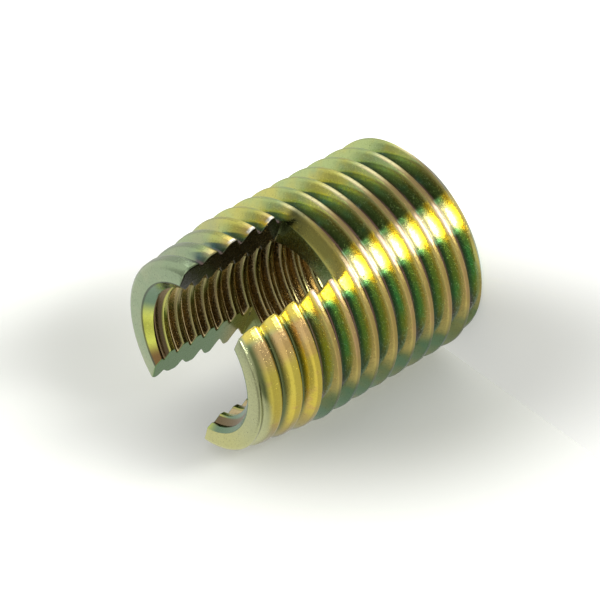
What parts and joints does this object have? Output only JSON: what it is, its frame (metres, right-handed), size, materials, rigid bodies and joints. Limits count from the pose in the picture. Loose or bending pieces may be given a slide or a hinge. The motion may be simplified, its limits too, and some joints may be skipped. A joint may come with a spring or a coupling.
{
  "type": "threaded insert",
  "caption": "Cylindrical steel threaded insert with a self-tapping outer thread, a tapered slotted lead end and a through inner thread.",
  "frame": {"origin": "centre of the rear face, on the axis of both threads", "axes": "+Z along the axis to the slotted lead end; the slot runs along Y and leaves a prong on +X and on -X"},
  "size_m": [0.014, 0.014, 0.0177],
  "materials": {
    "yellow_zinc": "steel, zinc plated and yellow passivated: glossy olive gold with green, teal and violet interference tints"
  },
  "bodies": {
    "root": {"insert_body": "yellow_zinc"}
  },
  "joints": []
}
